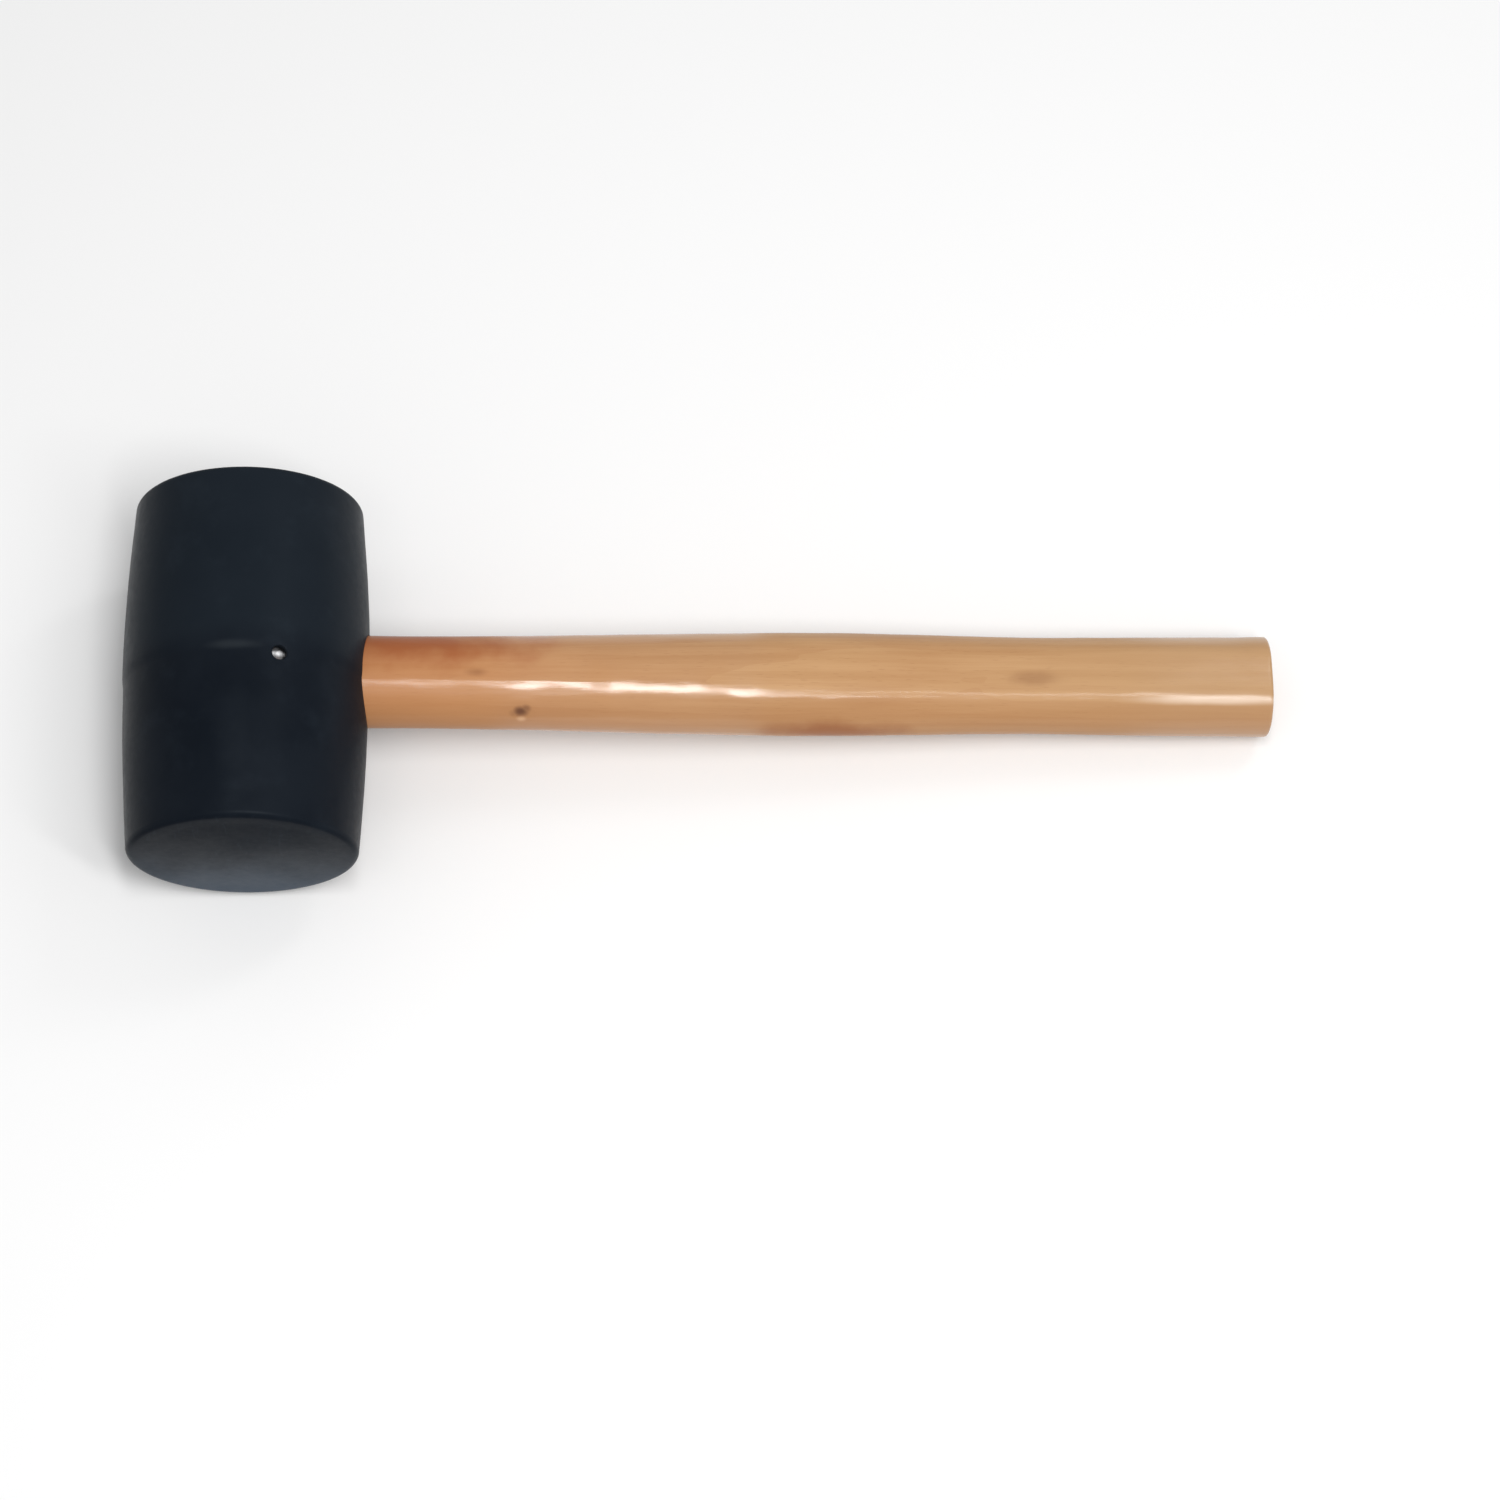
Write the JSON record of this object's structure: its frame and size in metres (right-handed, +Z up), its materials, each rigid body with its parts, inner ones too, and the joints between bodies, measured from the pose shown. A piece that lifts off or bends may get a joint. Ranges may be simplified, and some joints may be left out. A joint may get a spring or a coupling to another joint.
{
  "type": "rubber mallet",
  "caption": "Mallet with a barrel-shaped black rubber head on a varnished wooden handle, set in a blind eye and held by a steel pin, lying on its side.",
  "frame": {"origin": "middle of the mallet's footprint, on the surface that it lies on", "axes": "+X from the head towards the butt of the handle, +Y and -Y the two striking directions along the head, +Z up from the surface that the mallet lies on; the handle slopes 4.61 degrees down towards the butt, because the head and the butt both touch the surface"},
  "size_m": [0.3514, 0.113, 0.075],
  "materials": {
    "rubber": "moulded bluish-black rubber, satin",
    "handle_wood": "pale hardwood under clear glossy varnish",
    "pin_steel": "dull steel"
  },
  "bodies": {
    "root": {"rubber_head": "rubber", "handle": "handle_wood", "steel_pin": "pin_steel"}
  },
  "joints": []
}
